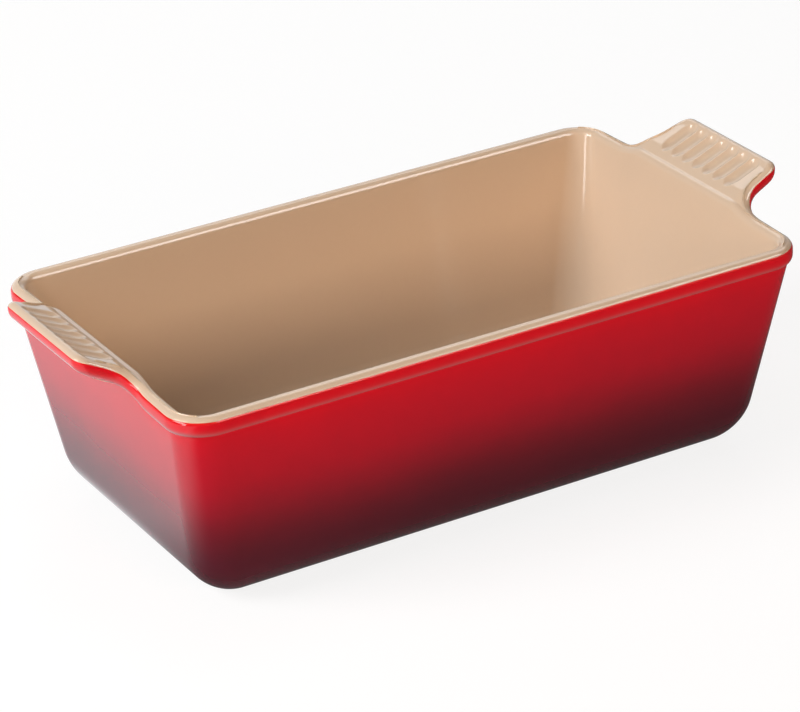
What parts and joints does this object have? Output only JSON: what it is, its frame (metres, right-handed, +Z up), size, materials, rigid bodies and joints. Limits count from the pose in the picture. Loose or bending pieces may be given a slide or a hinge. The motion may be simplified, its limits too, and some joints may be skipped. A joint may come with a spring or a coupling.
{
  "type": "loaf pan",
  "caption": "Rectangular glazed stoneware loaf pan with a rolled rim band and fluted lug handles at both ends.",
  "frame": {"origin": "centre of the foot ring's plane, on the surface the pan stands on", "axes": "+Z up out of the pan's mouth, +X along the pan's length towards one handle, +Y across its width"},
  "size_m": [0.2798, 0.141, 0.0913],
  "materials": {
    "stoneware": "unglazed, matte",
    "cream_glaze": "smooth satin-gloss liner glaze",
    "red_glaze": "high gloss, shading to dark maroon at the lower part of the walls",
    "underside_glaze": "thin satin glaze"
  },
  "bodies": {
    "root": {"stoneware_body": "stoneware", "interior_glaze": "cream_glaze", "exterior_glaze": "red_glaze", "base_glaze": "underside_glaze"}
  },
  "joints": []
}
